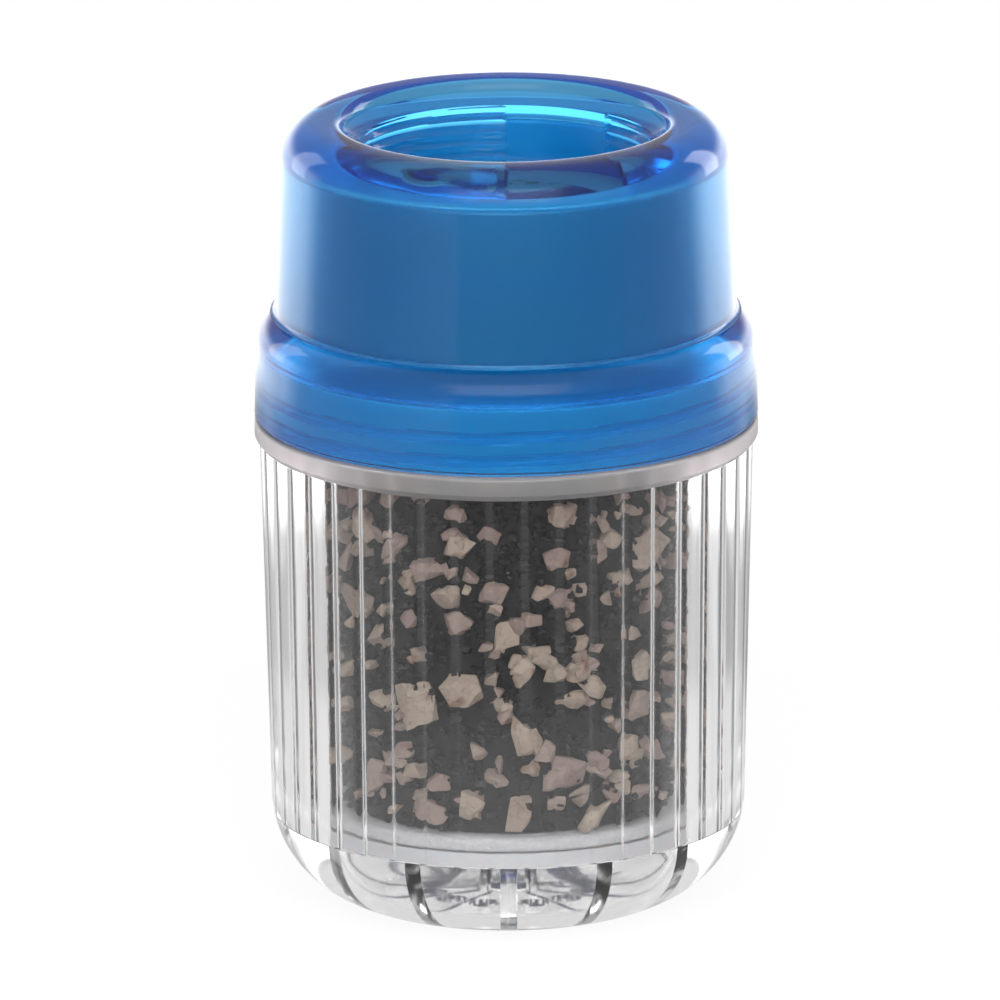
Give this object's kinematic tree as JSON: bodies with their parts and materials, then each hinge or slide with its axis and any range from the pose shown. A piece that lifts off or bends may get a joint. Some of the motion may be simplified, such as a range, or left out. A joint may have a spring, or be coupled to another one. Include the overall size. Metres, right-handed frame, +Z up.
{
  "type": "faucet mount water filter",
  "caption": "Tap filter with a clear ribbed cup of charcoal and mineral stones, screwed into a blue see-through cap with a threaded socket for the tap.",
  "frame": {"origin": "centre of the cup's flat foot, on the surface that the filter stands on", "axes": "+Z up along the common axis, towards the tap; -Y is the pictured front"},
  "size_m": [0.04, 0.04, 0.0636],
  "materials": {
    "clear_plastic": "clear moulded styrene plastic, polished",
    "blue_plastic": "see-through blue moulded plastic, polished",
    "white_plastic": "white moulded plastic, satin",
    "fibre_pad": "white needled fibre, matt",
    "charcoal": "packed activated charcoal grains, matt with a few glints",
    "mineral_stone": "crushed pale mineral stone, matt",
    "silicone": "pale silicone rubber, satin"
  },
  "bodies": {
    "filter_cup": {"cup": "clear_plastic", "bottom_sieve": "white_plastic", "bottom_pad": "fibre_pad", "charcoal_bed": "charcoal", "mineral_stones": "mineral_stone", "top_pad": "fibre_pad", "top_sieve": "white_plastic"},
    "seal": {"seal_ring": "silicone"},
    "screw_cap": {"cap": "blue_plastic", "tap_washer": "silicone"}
  },
  "joints": [
    {"name": "cap_lift", "type": "slide", "parent": "filter_cup", "child": "seal", "axis": [0, 0, 1], "range_m": [0, 0.0018]},
    {"name": "cap_turn", "type": "hinge", "parent": "seal", "child": "screw_cap", "pos_m": [0, 0, 0.0447], "axis": [0, 0, 1], "range_deg": [0, 360]}
  ],
  "couplings": [
    {"joint": "cap_lift", "follows": "cap_turn", "m_per_rad": 0.00028647}
  ]
}
